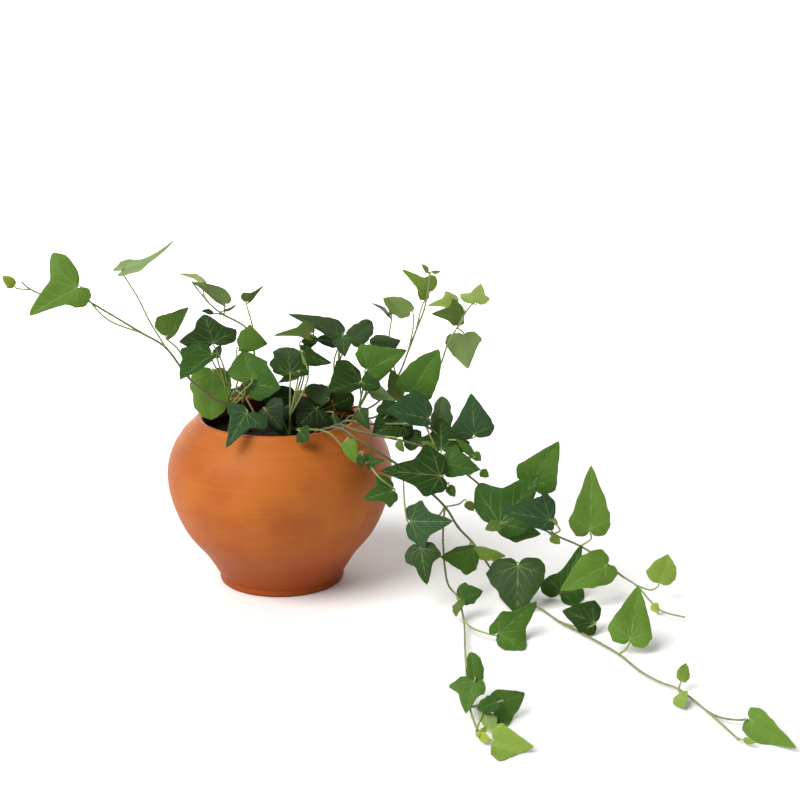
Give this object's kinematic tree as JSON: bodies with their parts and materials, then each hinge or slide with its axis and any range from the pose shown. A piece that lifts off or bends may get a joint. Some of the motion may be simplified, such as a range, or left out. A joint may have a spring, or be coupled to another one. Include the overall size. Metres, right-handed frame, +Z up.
{
  "type": "potted ivy",
  "caption": "Common ivy with lobed, pale-veined leaves on upright and trailing stems, growing from a round-bellied unglazed terracotta pot.",
  "frame": {"origin": "centre of the pot's foot, on the surface that the pot stands on", "axes": "+Z up along the pot's axis; +X towards the two long trailing stems; the front of the plant faces -Y"},
  "size_m": [0.5297, 0.4549, 0.2843],
  "materials": {
    "terracotta": "matte unglazed",
    "soil": "matte crumbly",
    "foliage": "satin leaves with pale veins"
  },
  "bodies": {
    "root": {"terracotta_pot": "terracotta", "potting_mix": "soil", "left_trailing_stem": "foliage", "left_upright_stem": "foliage", "left_short_stem": "foliage", "centre_left_stem": "foliage", "centre_back_stem": "foliage", "centre_right_stem": "foliage", "right_upright_stem": "foliage", "right_outer_stem": "foliage", "right_bushy_stem": "foliage", "upper_right_trailer": "foliage", "lower_right_trailer": "foliage", "rim_shoot": "foliage", "inner_stem": "foliage", "back_shoot_1": "foliage", "back_shoot_2": "foliage"}
  },
  "joints": []
}
